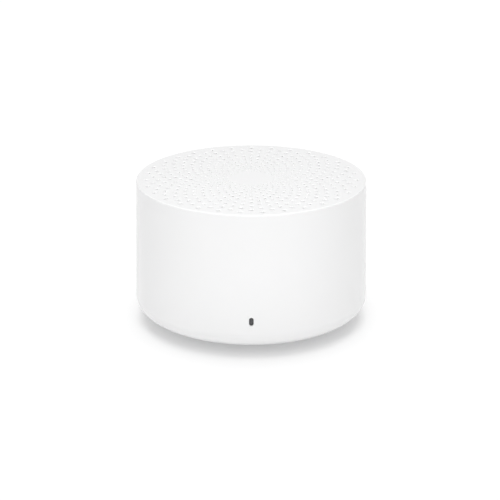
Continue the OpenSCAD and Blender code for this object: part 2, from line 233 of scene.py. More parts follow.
class Loft:
    """Closed pieces lofted through outlines of equal length, in millimetres."""

    def __init__(self):
        self.co, self.faces = [], []

    def add(self, sections):
        """Joins the outlines in turn and closes the first and the last."""
        n, base = len(sections[0]), len(self.co)
        self.co += [p for loop in sections for p in loop]
        self.faces.append([base + j for j in reversed(range(n))])
        self.faces.append([base + (len(sections) - 1) * n + j for j in range(n)])
        for k in range(len(sections) - 1):
            for j in range(n):
                a, b = base + k * n + j, base + k * n + (j + 1) % n
                self.faces.append((a, b, b + n, a + n))

    def slab(self, w, h, z0, z1, corner, edge, at=(0, 0), turn=0.0, steps=3):
        """A block with round corners and round upper and lower edges, turned in degrees about Z."""
        c, s = math.cos(math.radians(turn)), math.sin(math.radians(turn))
        rows = [(edge * (1 - math.sin(a)), edge * (1 - math.cos(a))) for a in
                (math.pi / 2 * k / steps for k in range(steps + 1))]
        rows = [(inset, z0 + up) for inset, up in rows] + [(inset, z1 - up) for inset, up in reversed(rows)]
        loops = []
        for inset, z in rows:
            loop = outline(w - 2 * inset, h - 2 * inset, max(corner - inset, 0.02), 3)
            loops.append([(at[0] + x * c - y * s, at[1] + x * s + y * c, z) for x, y in loop])
        self.add(loops)

    def build(self, name, node, stands=True, angle=50):
        """Makes the object. Edges that turn by more than angle stay sharp."""
        mesh = bpy.data.meshes.new(name)
        mesh.from_pydata([Vector(c) * MM for c in self.co], [], self.faces)
        mesh.polygons.foreach_set("use_smooth", [True] * len(mesh.polygons))
        mesh.set_sharp_from_angle(angle=math.radians(angle))
        obj = finished(name, mesh, node, stands)
        obj.modifiers.new("even_shading", "WEIGHTED_NORMAL").keep_sharp = True
        return obj


def triangles(points, edges):
    """Fills the plane between the edges: points, counter-clockwise triangles and their middles."""
    co, _, tris, *_ = delaunay_2d_cdt([Vector(p) for p in points], edges, [], 0, 1e-7)
    co = np.array([tuple(c) for c in co])
    tris = np.array(tris)
    a, b, c = co[tris[:, 0]], co[tris[:, 1]], co[tris[:, 2]]
    area = (b[:, 0] - a[:, 0]) * (c[:, 1] - a[:, 1]) - (b[:, 1] - a[:, 1]) * (c[:, 0] - a[:, 0])
    tris = tris[np.abs(area) > 1e-9]
    flip = area[np.abs(area) > 1e-9] < 0
    tris[flip] = tris[flip][:, ::-1]
    return co, tris, co[tris].mean(1)


def open_edges(tris):
    """The directed edges with a face on one side only."""
    there = {(t[i], t[(i + 1) % 3]) for t in tris.tolist() for i in range(3)}
    return [(a, b) for a, b in there if (b, a) not in there]


# ---------------------------------------------------------------- materials


def tree(name):
    """A new material, its nodes, its links and its surface shader."""
    m = bpy.data.materials.new(name)
    m.use_nodes = True
    n = m.node_tree.nodes
    return m, n, m.node_tree.links, n["Principled BSDF"]


def noise(n, links, at, scale, detail=2.0, rough=0.5):
    """Soft noise from 0 to 1."""
    t = n.new("ShaderNodeTexNoise")
    t.inputs["Scale"].default_value = scale
    t.inputs["Detail"].default_value = detail
    t.inputs["Roughness"].default_value = rough
    links.new(at, t.inputs["Vector"])
    return t.outputs["Fac"]


def remap(n, links, value, lo, hi):
    """Stretches 0 to 1 into lo to hi."""
    r = n.new("ShaderNodeMapRange")
    r.inputs["To Min"].default_value = lo
    r.inputs["To Max"].default_value = hi
    links.new(value, r.inputs["Value"])
    return r.outputs["Result"]


def mix(n, links, fac, a, b):
    """A colour between a and b, each a colour or a socket."""
    m = n.new("ShaderNodeMix")
    m.data_type = "RGBA"
    for name, value in (("A", a), ("B", b)):
        socket = next(s for s in m.inputs if s.name == name and s.type == "RGBA")
        if isinstance(value, tuple):
            socket.default_value = (*value, 1)
        else:
            links.new(value, socket)
    links.new(fac, m.inputs["Factor"])
    return next(s for s in m.outputs if s.type == "RGBA")


def bump(n, links, bsdf, height, distance):
    """Raises the surface's shading by height times distance, in metres."""
    b = n.new("ShaderNodeBump")
    b.inputs["Strength"].default_value = 1.0
    b.inputs["Distance"].default_value = distance
    links.new(height, b.inputs["Height"])
    links.new(b.outputs["Normal"], bsdf.inputs["Normal"])


def moulded(name, light, dark, rough, grain, depth, metallic=0.0, specular=0.5, coat=0.0, soft=0.0):
    """Moulded or coated surface: broad colour drift, fine grain in the bump, uneven roughness."""
    m, n, links, bsdf = tree(name)
    at = n.new("ShaderNodeTexCoord").outputs["Object"]
    links.new(mix(n, links, noise(n, links, at, 90, 3), dark, light), bsdf.inputs["Base Color"])
    patches = noise(n, links, at, 1400, 3)
    links.new(remap(n, links, patches, rough - 0.05, rough + 0.05), bsdf.inputs["Roughness"])
    bump(n, links, bsdf, noise(n, links, at, grain, 3, 0.6), depth)
    bsdf.inputs["Metallic"].default_value = metallic
    bsdf.inputs["Specular IOR Level"].default_value = specular
    bsdf.inputs["Coat Weight"].default_value = coat
    bsdf.inputs["Coat Roughness"].default_value = 0.1
    bsdf.inputs["Sheen Weight"].default_value = soft
    return m


def woven(name, light, dark, pitch, depth):
    """Plain weave: two crossed sets of threads, pitch metres apart, that take turns on top. Its colour is
    darker where the threads dip, which is painted shade in the gaps between them.
    """
    m, n, links, bsdf = tree(name)
    at = n.new("ShaderNodeTexCoord").outputs["Object"]
    split = n.new("ShaderNodeSeparateXYZ")
    links.new(at, split.inputs[0])

    def sine(axis, factor):
        """The sine of a coordinate times factor."""
        a = n.new("ShaderNodeMath")
        a.operation = "MULTIPLY"
        a.inputs[1].default_value = factor
        links.new(split.outputs[axis], a.inputs[0])
        b = n.new("ShaderNodeMath")
        b.operation = "SINE"
        links.new(a.outputs[0], b.inputs[0])
        return b.outputs[0]

    def math2(op, a, b):
        """One step of arithmetic on two sockets or numbers."""
        x = n.new("ShaderNodeMath")
        x.operation = op
        for i, value in enumerate((a, b)):
            if isinstance(value, (int, float)):
                x.inputs[i].default_value = value
            else:
                links.new(value, x.inputs[i])
        return x.outputs[0]

    k = math.pi / pitch
    warp = math2("ABSOLUTE", sine("X", k), 0)
    weft = math2("ABSOLUTE", sine("Y", k), 0)
    over = math2("MULTIPLY", sine("X", k), sine("Y", k))
    lift = math2("MULTIPLY_ADD", over, 0.35)
    height = math2("ADD", math2("MAXIMUM", warp, weft), lift)
    fuzz = noise(n, links, at, 20000, 2)
    height = math2("ADD", height, math2("MULTIPLY", fuzz, 0.3))
    # the colour follows the threads' height: darker low down, which is painted shade in the gaps between the
    # threads, and lighter on top
    links.new(mix(n, links, remap(n, links, height, 0.0, 0.8), dark, light), bsdf.inputs["Base Color"])
    links.new(remap(n, links, fuzz, 0.75, 0.95), bsdf.inputs["Roughness"])
    bump(n, links, bsdf, height, depth)
    bsdf.inputs["Sheen Weight"].default_value = 0.2
    return m


def brushed(name, light, dark, rough, turned_face=True):
    """Metal with fine tool marks, in rings round Z or along X."""
    m, n, links, bsdf = tree(name)
    at = n.new("ShaderNodeTexCoord").outputs["Object"]
    wave = n.new("ShaderNodeTexWave")
    wave.wave_type = "RINGS" if turned_face else "BANDS"
    if turned_face:
        wave.rings_direction = "Z"
    wave.inputs["Scale"].default_value = 900
    wave.inputs["Distortion"].default_value = 3
    wave.inputs["Detail"].default_value = 3
    wave.inputs["Detail Scale"].default_value = 4
    links.new(at, wave.inputs["Vector"])
    links.new(mix(n, links, noise(n, links, at, 160, 3), dark, light), bsdf.inputs["Base Color"])
    links.new(remap(n, links, wave.outputs["Fac"], rough - 0.06, rough + 0.08), bsdf.inputs["Roughness"])
    bump(n, links, bsdf, wave.outputs["Fac"], 2e-6)
    bsdf.inputs["Metallic"].default_value = 1.0
    return m


# every look: its lighter and darker colour, then roughness, grain and its depth for what is moulded,
# thread pitch and depth for what is woven, roughness for what is brushed
MAT = {
    "white_plastic": moulded("white_plastic", (0.885, 0.885, 0.887), (0.873, 0.873, 0.876),
                             0.24, 5200, 3e-6),
    "base_plastic": moulded("base_plastic", (0.72, 0.725, 0.735), (0.69, 0.695, 0.705), 0.55, 4200, 8e-6),
    "button_plastic": moulded("button_plastic", (0.8, 0.803, 0.81), (0.775, 0.778, 0.786),
                              0.4, 6000, 4e-6),
    "grille_cloth": woven("grille_cloth", (0.9, 0.9, 0.9), (0.74, 0.74, 0.745), 0.00028, 4e-5),
    "smoked_lens": moulded("smoked_lens", (0.05, 0.05, 0.054), (0.035, 0.035, 0.038),
                           0.16, 3000, 1e-6, coat=0.6),
    "foot_silicone": moulded("foot_silicone", (0.5, 0.5, 0.51), (0.45, 0.45, 0.46),
                             0.62, 3500, 1e-5, soft=0.1),
    "black_plastic": moulded("black_plastic", (0.03, 0.03, 0.032), (0.02, 0.02, 0.022), 0.5, 4000, 1e-5),
    "foam": moulded("foam", (0.045, 0.045, 0.048), (0.015, 0.015, 0.016), 0.95, 2600, 6e-5),
    "zinc_screw": brushed("zinc_screw", (0.66, 0.67, 0.69), (0.5, 0.51, 0.53), 0.34),
    "basket_steel": moulded("basket_steel", (0.04, 0.04, 0.043), (0.025, 0.025, 0.027),
                            0.42, 2600, 1e-5, coat=0.2),
    "motor_steel": brushed("motor_steel", (0.58, 0.58, 0.6), (0.45, 0.45, 0.47), 0.4),
    "magnet_nickel": brushed("magnet_nickel", (0.74, 0.73, 0.71), (0.62, 0.61, 0.6), 0.2),
    "kapton": moulded("kapton", (0.5, 0.24, 0.06), (0.4, 0.17, 0.04), 0.3, 3000, 4e-6, coat=0.3),
    "coil_copper": brushed("coil_copper", (0.78, 0.36, 0.18), (0.55, 0.22, 0.1), 0.3, False),
    "spider_cloth": woven("spider_cloth", (0.55, 0.42, 0.17), (0.3, 0.21, 0.07), 0.0003, 4e-5),
    "cone_paper": moulded("cone_paper", (0.05, 0.05, 0.053), (0.022, 0.022, 0.024), 0.85, 2600, 3e-5),
    "surround_rubber": moulded("surround_rubber", (0.025, 0.025, 0.026), (0.016, 0.016, 0.017),
                               0.5, 3000, 6e-6),
    "board_green": moulded("board_green", (0.02, 0.16, 0.07), (0.012, 0.1, 0.045),
                           0.35, 2200, 8e-6, coat=0.3),
    "lead_red": moulded("lead_red", (0.5, 0.02, 0.02), (0.36, 0.012, 0.012), 0.45, 2500, 6e-6),
    "lead_black": moulded("lead_black", (0.03, 0.03, 0.03), (0.018, 0.018, 0.018), 0.45, 2500, 6e-6),
    "cell_foil": moulded("cell_foil", (0.66, 0.67, 0.69), (0.52, 0.53, 0.55),
                         0.36, 900, 4e-5, metallic=0.9),
    "port_steel": brushed("port_steel", (0.7, 0.7, 0.72), (0.55, 0.55, 0.57), 0.3, False),
    "chip_epoxy": moulded("chip_epoxy", (0.03, 0.03, 0.033), (0.018, 0.018, 0.02), 0.6, 5000, 1e-5),
    "ferrite": moulded("ferrite", (0.1, 0.1, 0.104), (0.06, 0.06, 0.063), 0.7, 3500, 2e-5),
    "ceramic": moulded("ceramic", (0.45, 0.3, 0.18), (0.36, 0.23, 0.13), 0.5, 3500, 8e-6),
    "header_nylon": moulded("header_nylon", (0.8, 0.77, 0.66), (0.72, 0.69, 0.58), 0.45, 3500, 6e-6),
    "lamp_epoxy": moulded("lamp_epoxy", (0.85, 0.84, 0.7), (0.78, 0.77, 0.62), 0.3, 3500, 4e-6),
}
for part in frame["record"]["subparts"]:
    node = frame["nodes"][part["node"]]
    node.data.materials.clear()
    node.data.materials.append(MAT[part["material_slot"]])

# ---------------------------------------------------------------- cup housing


def ring_holes():
    """(x, y, radius) of each hole in the top."""
    for k in range(RINGS):
        r = RING_MAX - k * STEP_OUT + (STEP_OUT - STEP_IN) * k * (k - 1) / (2 * (RINGS - 2))
        d = HOLE_D_MAX + (HOLE_D_MIN - HOLE_D_MAX) * k / (RINGS - 1)
        for i in range(HOLES):
            a = math.tau * (i + (0.5 if k % 2 == 0 else 0)) / HOLES - math.pi / 2
            yield r * math.cos(a), r * math.sin(a), d / 2


def round_steps(c, steps=3):
    """(inset, depth, cosine, sine) down a quarter-round edge of radius c."""
    for k in range(steps + 1):
        a = math.pi / 2 * k / steps
        yield c * math.sin(a), c * (1 - math.cos(a)), math.cos(a), math.sin(a)


def perforated_top(shape):
    """The flat top, above and below, and the walls of its holes, each with a rounded mouth."""
    holes = list(ring_holes())
    edge = TOP_R - TOP_ROUND
    points, edges = [], []
    for j in range(COLUMNS):
        a = math.tau * j / COLUMNS
        points.append((edge * math.cos(a), edge * math.sin(a)))
        edges.append((j, (j + 1) % COLUMNS))
    lip = [LIP_SHARE * r for _, _, r in holes]
    for (x, y, r), c in zip(holes, lip):
        n, base = (24 if r > 0.32 else 16), len(points)
        for j in range(n):
            a = math.tau * j / n
            points.append((x + (r + c) * math.cos(a), y + (r + c) * math.sin(a)))
            edges.append((base + j, base + (j + 1) % n))
    co, tris, mid = triangles(points, edges)
    centres = np.array([h[:2] for h in holes])
    radii = np.array([h[2] for h in holes])
    keep = []
    for t, m in zip(tris, mid):
        d = np.hypot(*(centres - m).T)
        k = int(d.argmin())
        keep.append(d[k] > radii[k] + lip[k] * 0.2 and math.hypot(*m) < edge)
    tris = tris[np.array(keep)]
    near = {}
    for i, p in enumerate(co):
        d = np.hypot(*(centres - p).T)
        k = int(d.argmin())
        near[i] = k if abs(d[k] - radii[k] - lip[k]) < 0.01 else None

    def under(i):
        """Point i as it lies on the underside, at the hole's own radius if it is on a mouth."""
        x, y = co[i]
        k = near[i]
        if k is None:
            s = IN_R / edge
            return shape.v((x * s, y * s, TOP_IN_Z), (0, 0, -1))
        cx, cy, r = holes[k]
        a = math.atan2(y - cy, x - cx)
        return shape.v((cx + r * math.cos(a), cy + r * math.sin(a), TOP_IN_Z), (0, 0, -1))

    for t in tris.tolist():
        shape.f(*[shape.v((*co[i], TOP_Z), (0, 0, 1)) for i in t])
        shape.f(*[under(i) for i in reversed(t)])
    for a, b in open_edges(tris):
        k = near[a]
        if k is None or near[b] != k:
            continue
        cx, cy, r = holes[k]
        c = lip[k]
        rows = []
        for i in (a, b):
            g = math.atan2(co[i][1] - cy, co[i][0] - cx)
            u, w = math.cos(g), math.sin(g)
            row = [shape.v((cx + (r + c - s) * u, cy + (r + c - s) * w, TOP_Z - d), (-u * sn, -w * sn, cs))
                   for s, d, cs, sn in round_steps(c)]
            row.append(shape.v((cx + r * u, cy + r * w, TOP_IN_Z), (-u, -w, 0)))
            rows.append(row)
        for p in range(len(rows[0]) - 1):
            shape.f(rows[1][p], rows[0][p], rows[0][p + 1], rows[1][p + 1])


def side_wall(shape):
    """The tapered part of the wall, outside and inside, with the window's slot and the port's opening."""
    z0, z1 = ARC_Z, WALL_TOP
    # each slot: the way it faces, its middle's height, its width, height and corner radius, and the radius of
    # its rounded mouth
    slots = [(-math.pi / 2, WINDOW_Z, WINDOW_W, WINDOW_H, WINDOW_W / 2 - 0.001, 0.1),
             (math.pi / 2, PORT_Z, PORT_W, PORT_H, PORT_CORNER, 0.2)]
    points, edges = [], []
    for j in range(COLUMNS + 1):
        s = math.tau * BODY_R * (j / COLUMNS - 0.5)  # the seam lies at -X
        points += [(s, z0), (s, z1)]
        edges.append((2 * j, 2 * j + 1))
        if j:
            edges += [(2 * j - 2, 2 * j), (2 * j - 1, 2 * j + 1)]
    for a, z, w, h, corner, c in slots:
        base = len(points)
        loop = outline(w + 2 * c, h + 2 * c, corner + c)
        points += [(BODY_R * (a + math.asin(x / wall_r(z + y))), z + y) for x, y in loop]
        edges += [(base + j, base + (j + 1) % len(loop)) for j in range(len(loop))]
    co, tris, mid = triangles(points, edges)

    def local(p, slot):
        """Point p across and up from the slot's middle."""
        return wall_r(p[1]) * math.sin(p[0] / BODY_R - slot[0]), p[1] - slot[1]

    def depth_in(p, slot):
        """How far p is inside the slot's widened outline; 0 on it."""
        x, y = local(p, slot)
        if abs(p[0] / BODY_R - slot[0]) > 1:
            return -9
        _, _, w, h, corner, c = slot
        qx, qy = max(abs(x) - (w / 2 - corner), 0), max(abs(y) - (h / 2 - corner), 0)
        if qx == 0 and qy == 0:
            return 1
        return corner + c - math.hypot(qx, qy)

    tris = tris[np.array([max(depth_in(m, s) for s in slots) < 1e-3 for m in mid])]
    near = {}
    for i, p in enumerate(co):
        hit = [s for s in slots if abs(depth_in(p, s)) < 4e-3]
        near[i] = hit[0] if hit else None

    def wall_point(x, z, slot, r, no):
        """A point at local x on radius r, in the slot's frame turned into place."""
        a, y = slot[0], math.sqrt(r * r - x * x)
        nx, nr, nz = no
        return shape.v((y * math.cos(a) - x * math.sin(a), y * math.sin(a) + x * math.cos(a), z),
                       (nr * math.cos(a) - nx * math.sin(a), nr * math.sin(a) + nx * math.cos(a), nz))

    def core(i):
        """The nearest point of the slot's core to point i, and the direction from it."""
        slot = near[i]
        x, y = local(co[i], slot)
        _, _, w, h, corner, c = slot
        kx = max(-(w / 2 - corner), min(w / 2 - corner, x))
        ky = max(-(h / 2 - corner), min(h / 2 - corner, y))
        d = math.hypot(x - kx, y - ky)
        return kx, ky, (x - kx) / d, (y - ky) / d

    def outer(i):
        """Point i on the outside of the wall."""
        s, z = co[i]
        a, r = s / BODY_R, wall_r(z)
        return shape.v((r * math.cos(a), r * math.sin(a), z),
                       (math.cos(a) * math.cos(TILT), math.sin(a) * math.cos(TILT), math.sin(TILT)))

    def inner(i):
        """Point i on the inside of the wall, at the slot's own outline if it is on a mouth."""
        s, z = co[i]
        if near[i]:
            slot = near[i]
            kx, ky, dx, dy = core(i)
            x, y = kx + dx * slot[4], ky + dy * slot[4]
            return wall_point(x, slot[1] + y, slot, IN_R, (-x / IN_R, -math.sqrt(1 - (x / IN_R) ** 2), 0))
        a = s / BODY_R
        z = TOP_IN_Z if z > z1 - 1e-6 else z
        return shape.v((IN_R * math.cos(a), IN_R * math.sin(a), z), (-math.cos(a), -math.sin(a), 0))

    for t in tris.tolist():
        shape.f(*[outer(i) for i in t])
        shape.f(*[inner(i) for i in reversed(t)])
    for a, b in open_edges(tris):
        slot = near[a]
        if slot is None or near[b] is not slot:
            continue
        c, rows = slot[5], []
        for i in (a, b):
            kx, ky, dx, dy = core(i)
            row = []
            for s, d, cs, sn in round_steps(c):
                x, y = kx + dx * (slot[4] + c - s), ky + dy * (slot[4] + c - s)
                r = wall_r(slot[1] + y) - d
                up = math.sin(TILT) if d == 0 else 0
                no = (x / r * cs - dx * sn, cs * math.sqrt(1 - (x / r) ** 2), -dy * sn + up)
                row.append(wall_point(x, slot[1] + y, slot, r, no))
            x, y = kx + dx * slot[4], ky + dy * slot[4]
            row.append(wall_point(x, slot[1] + y, slot, IN_R, (-dx, 0, -dy)))
            rows.append(row)
        for p in range(len(rows[0]) - 1):
            shape.f(rows[1][p], rows[0][p], rows[0][p + 1], rows[1][p + 1])


def arc_points(centre_r, centre_z, radius, first, last, first_no, last_no, steps):
    """Points along an arc, with normals that turn evenly from one angle to the other."""
    out = []
    for k in range(steps + 1):
        a = first + (last - first) * k / steps
        b = first_no + (last_no - first_no) * k / steps
        out.append((centre_r + radius * math.cos(a), centre_z + radius * math.sin(a),
                    math.cos(b), math.sin(b)))
    return out


BOSS_RI, BOSS_RO, BOSS_LOW, BOSS_HIGH = 0.65, 1.4, 24, TOP_IN_Z - 1.15
RIB_T, RIB_START, RIB_END = 1.4, SCREW_R + 1.3, IN_R + 0.1

shell = Shape()
side_wall(shell)
perforated_top(shell)
shell.lathe(arc_points(TOP_R - TOP_ROUND, WALL_TOP, TOP_ROUND, 0, math.pi / 2, TILT, math.pi / 2, 6))
low = rounded([(IN_R, ARC_Z, 0), (IN_R, LEDGE_Z + 1.4, 0.5), (RIM_RI + 1.1, LEDGE_Z, 0),
               (RIM_RI, LEDGE_Z, 0.15), (RIM_RI, RIM_Z, 0.15), (RIM_RO, RIM_Z, 0)], closed=False)
start = math.atan2(RIM_Z - ARC_Z, RIM_RO - ARC_R)
shell.lathe(low + arc_points(ARC_R, ARC_Z, EDGE_R, start, 0, start, TILT, 20))
for a in (math.radians(t) for t in SCREW_ANGLES):
    shell.lathe(rounded([(BOSS_RI, BOSS_LOW, 0), (BOSS_RO, BOSS_LOW, 0.15), (BOSS_RO, BOSS_HIGH, 0.15),
                         (BOSS_RI, BOSS_HIGH, 0)], 3), 32, at=(SCREW_R * math.cos(a), SCREW_R * math.sin(a)))
shell.build("cup_housing", "outer_shell")

ribs = Loft()
mid = (RIB_START + RIB_END) / 2
for t in SCREW_ANGLES:
    a = math.radians(t)
    ribs.slab(RIB_END - RIB_START, RIB_T, BOSS_LOW, BOSS_HIGH, 0.1, 0.1,
              (mid * math.cos(a), mid * math.sin(a)), t)
ribs.build("screw_boss_ribs", "outer_shell", stands=False)

# ---------------------------------------------------------------- cloth, window, base, foot, button

lo, hi = cad("acoustic_mesh")
cloth = turned("grille_cloth_disc", "acoustic_mesh",
               [(0, lo.z, 0), (hi.y, lo.z, 0.05), (hi.y, hi.z, 0.05), (0, hi.z, 0)])

NOSE, CROWN = -cad("status_lens")[0].y, 0.24  # how far out the window reaches, and its rounded front
PIPE_Z, FLANGE_Z, FLANGE_OUT, WALL_IN = 7.35, 8.65, 21.9, IN_R - 0.13


def window_loop(inset, out):
    """The slot's outline, drawn in by inset, at a distance out from the axis."""
    w, h = WINDOW_W - 0.02 - 2 * inset, WINDOW_H - 0.02 - 2 * inset
    return [(x, -out, WINDOW_Z + y) for x, y in outline(w, h, w / 2 - 0.001)]


# a light pipe from the lamp, a flange that lies behind the wall, and the window itself in its slot
sections = []
for w, h, z, corner, out in ((1.7, 0.9, PIPE_Z, 0.2, 18.3),
                             (1.8, 1.0, PIPE_Z, 0.25, 18.4),
                             (1.8, 1.0, PIPE_Z, 0.25, FLANGE_OUT),
                             (3.8, 3.3, FLANGE_Z, 0.3, FLANGE_OUT),
                             (4, 3.5, FLANGE_Z, 0.4, FLANGE_OUT + 0.1),
                             (4, 3.5, FLANGE_Z, 0.4, WALL_IN - 0.1),
                             (3.8, 3.3, FLANGE_Z, 0.3, WALL_IN)):
    sections.append([(x, -out, z + y) for x, y in outline(w, h, corner)])
sections.append(window_loop(0, WALL_IN))
for k in range(8):
    a = math.pi / 2 * k / 7
    sections.append(window_loop(CROWN * (1 - math.cos(a)), NOSE - CROWN + CROWN * math.sin(a)))
window = Loft()
window.add(sections)
window.build("status_window", "status_lens")

lo, hi = cad("base_cover")
BASE_Z, BAND_R = lo.z, hi.y
BUTTON_HOLE_R, COLLAR_RI, COLLAR_RO, COLLAR_TOP = 4.75, 5.9, 6.7, LEDGE_Z + 1.1
SEAT_RI, SEAT_RO, SEAT_Z = 11.9, 17.5, BASE_Z + 0.4  # the shallow seat of the foot ring
PLUG_R = RIM_RI - 0.15  # the part of the plate that sits inside the cup's rim
HOOK_RI, HOOK_RO, HOOK_TOP, HOOK_HALF = RIM_RI - 1.4, RIM_RI - 0.4, LEDGE_Z + 1.5, 6.6
plate = Shape()
plate.lathe(rounded([
    (BUTTON_HOLE_R, BASE_Z, 0.25), (SEAT_RI, BASE_Z, 0.08), (SEAT_RI, SEAT_Z, 0.03), (SEAT_RO, SEAT_Z, 0.03),
    (SEAT_RO, BASE_Z, 0.08), (BAND_R, BASE_Z, 0.15), (BAND_R, RIM_Z, 0.05), (PLUG_R, RIM_Z, 0.03),
    (PLUG_R, LEDGE_Z, 0.1), (COLLAR_RO, LEDGE_Z, 0.1), (COLLAR_RO, COLLAR_TOP, 0.15),
    (COLLAR_RI, COLLAR_TOP, 0.15), (COLLAR_RI, LEDGE_Z, 0.05), (BUTTON_HOLE_R, LEDGE_Z, 0.15)]))
hook = [(HOOK_RI, LEDGE_Z, 0), (HOOK_RO, LEDGE_Z, 0.1), (RIM_RI + 0.7, LEDGE_Z + 0.12, 0.15),
        (HOOK_RO, HOOK_TOP, 0.2), (HOOK_RI, HOOK_TOP, 0.2)]
for t in (45, 135, 225, 315):
    plate.lathe(rounded(hook), 12, (math.radians(t - HOOK_HALF), math.radians(t + HOOK_HALF)))
plate.build("base_plate", "base_cover")

hi = cad("foot_pad")[1]
FOOT_RI, FOOT_RO, GROOVE_DEPTH = 12.0, hi.y, 0.16
grooves = []
for k in range(3):
    r = FOOT_RI + 1.3 + 1.2 * k
    grooves += [(r, 0, 0.06), (r + 0.12, GROOVE_DEPTH, 0.06),
                (r + 0.38, GROOVE_DEPTH, 0.06), (r + 0.5, 0, 0.06)]
turned("foot_ring", "foot_pad", [(FOOT_RI, 0, 0.16), *grooves, (FOOT_RO, 0, 0.16), (FOOT_RO, hi.z, 0.05),
                                 (FOOT_RI, hi.z, 0.05)], COLUMNS, 3)

hi = cad("power_button")[1]
CAP_R, DISH, STEM_R = 4.5, 0.2, 1
CAP_FLANGE_Z, CAP_TOP, CAP_FLANGE_R = LEDGE_Z + 0.1, LEDGE_Z + 0.7, CAP_R + 1.1
dish = [(r, BASE_Z + DISH - r * r / 48, 0) for r in (0, 0.8, 1.6, 2.4)]
turned("button_cap", "power_button",
       [*dish, (3.09, BASE_Z, 0.5), (CAP_R, BASE_Z, 0.25), (CAP_R, CAP_FLANGE_Z, 0.05),
        (CAP_FLANGE_R, CAP_FLANGE_Z, 0.1), (CAP_FLANGE_R, CAP_TOP, 0.1),
        (STEM_R, CAP_TOP, 0.02), (STEM_R, hi.z, 0.02), (0, hi.z, 0)])

# ---------------------------------------------------------------- loudspeaker

hi = cad("driver_basket")[1]
RIM = hi.z  # the basket's front face
SHELF = RIM - 3.1  # the ledge that the spider is glued to
YOKE = RIM - 5  # the motor's front face
YOKE_FLOOR, PLATE_Z = YOKE - 4.5, YOKE - 1.5
YOKE_RO, YOKE_RI, MAGNET_R, PLATE_R, COIL_R = 9, 7.4, 5.6, 5.9, 6.5

turned("motor_yoke", "driver_yoke", [(0, YOKE - 6, 0), (YOKE_RO, YOKE - 6, 0.5), (YOKE_RO, YOKE, 0.2),
                                     (YOKE_RI, YOKE, 0.2), (YOKE_RI, YOKE_FLOOR, 0.3), (0, YOKE_FLOOR, 0)])
turned("disc_magnet", "driver_magnet", [(0, YOKE_FLOOR, 0), (MAGNET_R, YOKE_FLOOR, 0.25),
                                        (MAGNET_R, PLATE_Z, 0.25), (0, PLATE_Z, 0)])
turned("motor_pole_plate", "pole_plate", [(0, PLATE_Z, 0), (PLATE_R, PLATE_Z, 0.1), (PLATE_R, YOKE, 0.2),
                                          (0, YOKE, 0)])

TUBE_T, TUBE_LOW, TUBE_HIGH = 0.15, YOKE - 2.6, SHELF + 1.1
turned("coil_tube", "coil_former", [(COIL_R - TUBE_T, TUBE_LOW, 0.05), (COIL_R, TUBE_LOW, 0.05),
                                    (COIL_R, TUBE_HIGH, 0.05), (COIL_R - TUBE_T, TUBE_HIGH, 0.05)])

TURNS, WIRE = 18, 0.15  # turns of the coil that show on its outside, and their pitch
COIL_T, COIL_LOW = 0.35, YOKE - 2.1
bulges = []
for k in range(TURNS):
    for a in (-60, 0, 60):
        a = math.radians(a)
        bulges.append((COIL_R + COIL_T - WIRE / 2 + WIRE / 2 * math.cos(a),
                       COIL_LOW + WIRE * (k + 0.5) + WIRE / 2 * math.sin(a), math.cos(a), math.sin(a)))
coil = Shape()
coil.lathe([(COIL_R, COIL_LOW, 0, -1), *bulges, (COIL_R, COIL_LOW + WIRE * TURNS, 0, 1),
            (COIL_R, COIL_LOW, -1, 0)], 96)
coil.build("coil_winding", "voice_coil")

CONE_R = 13.2
cone = Shape()
cone.lathe(rounded([(COIL_R, SHELF + 0.7, 0), (COIL_R + 0.3, SHELF + 0.7, 0.1), (12.6, RIM - 0.3, 0.3),
                    (CONE_R, RIM - 0.3, 0.1), (CONE_R, RIM, 0.1), (12.5, RIM, 0.3),
                    (COIL_R + 0.2, TUBE_HIGH, 0.1), (COIL_R, TUBE_HIGH, 0)]), 128)
cone.build("paper_cone", "driver_cone")

# the dome is part of a ball: its middle's height, its mean radius and the angle where it ends
CAP_CENTRE, CAP_MID_R, CAP_END = SHELF - 10.1, 13.275, math.radians(31.9)
cap = Shape()
cap.lathe(ribbon([(CAP_MID_R * math.sin(a), CAP_CENTRE + CAP_MID_R * math.cos(a)) for a in
                  (CAP_END * k / 24 for k in range(25))], 0.25), 96)
cap.build("dome_cap", "dust_cap")


def held_between(obj):
    """Bakes the piece's placement into its mesh.
    """
    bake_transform(obj)


# the surround: a half roll round ROLL_R, its own radius, how far its centre lies below the rim, and half
# its thickness, with a flat glued strip on each side
ROLL_R, ROLL, ROLL_DROP, HALF_T = 14.4, 1.125, 0.4, 0.125
low_end = math.asin((ROLL_DROP + HALF_T) / ROLL)
path = [(r, RIM + HALF_T) for r in (12.45, 12.8, 13.1)]
path += [(ROLL_R - ROLL * math.cos(a), RIM - ROLL_DROP + ROLL * math.sin(a)) for a in
         (low_end + (math.pi - 2 * low_end) * k / 20 for k in range(21))]
path += [(r, RIM + HALF_T) for r in (15.7, 16.4, 17.2)]
surround = Shape()
surround.lathe(ribbon(path, 2 * HALF_T - 0.01), 128)
held_between(surround.build("roll_surround", "driver_surround", rides=False))

# the spider: waves that fade out before the flat strip that is glued to the shelf
SPIDER_R, WAVE, WAVES_END = 12.48, 1.4, 10.9
path = []
for k in range(61):
    r = COIL_R + 0.02 + (SPIDER_R - COIL_R) * k / 60
    fade = min(max((WAVES_END - r) / 0.7, 0), 1)
    path.append((r, SHELF + 0.1 + fade * (0.24 - 0.2 * math.cos(math.tau * (r - COIL_R) / WAVE))))
spider = Shape()
spider.lathe(ribbon(path, 0.19), 128)
held_between(spider.build("corrugated_spider", "driver_spider", rides=False))

lo, hi = cad("cup_gasket")
GASKET_RI = 15.9
gasket = turned("foam_gasket", "cup_gasket", [(GASKET_RI, lo.z, 0.35), (hi.y, lo.z, 0.35), (hi.y, hi.z, 0.3),
                                              (GASKET_RI, hi.z, 0.3)])

# ---------------------------------------------------------------- battery and electronics

lo, hi = cad("battery_pad")
pad = Loft()
pad.slab(hi.x - lo.x, hi.y - lo.y, lo.z, hi.z, 1, 0.18)
pad.build("battery_foam", "battery_pad")

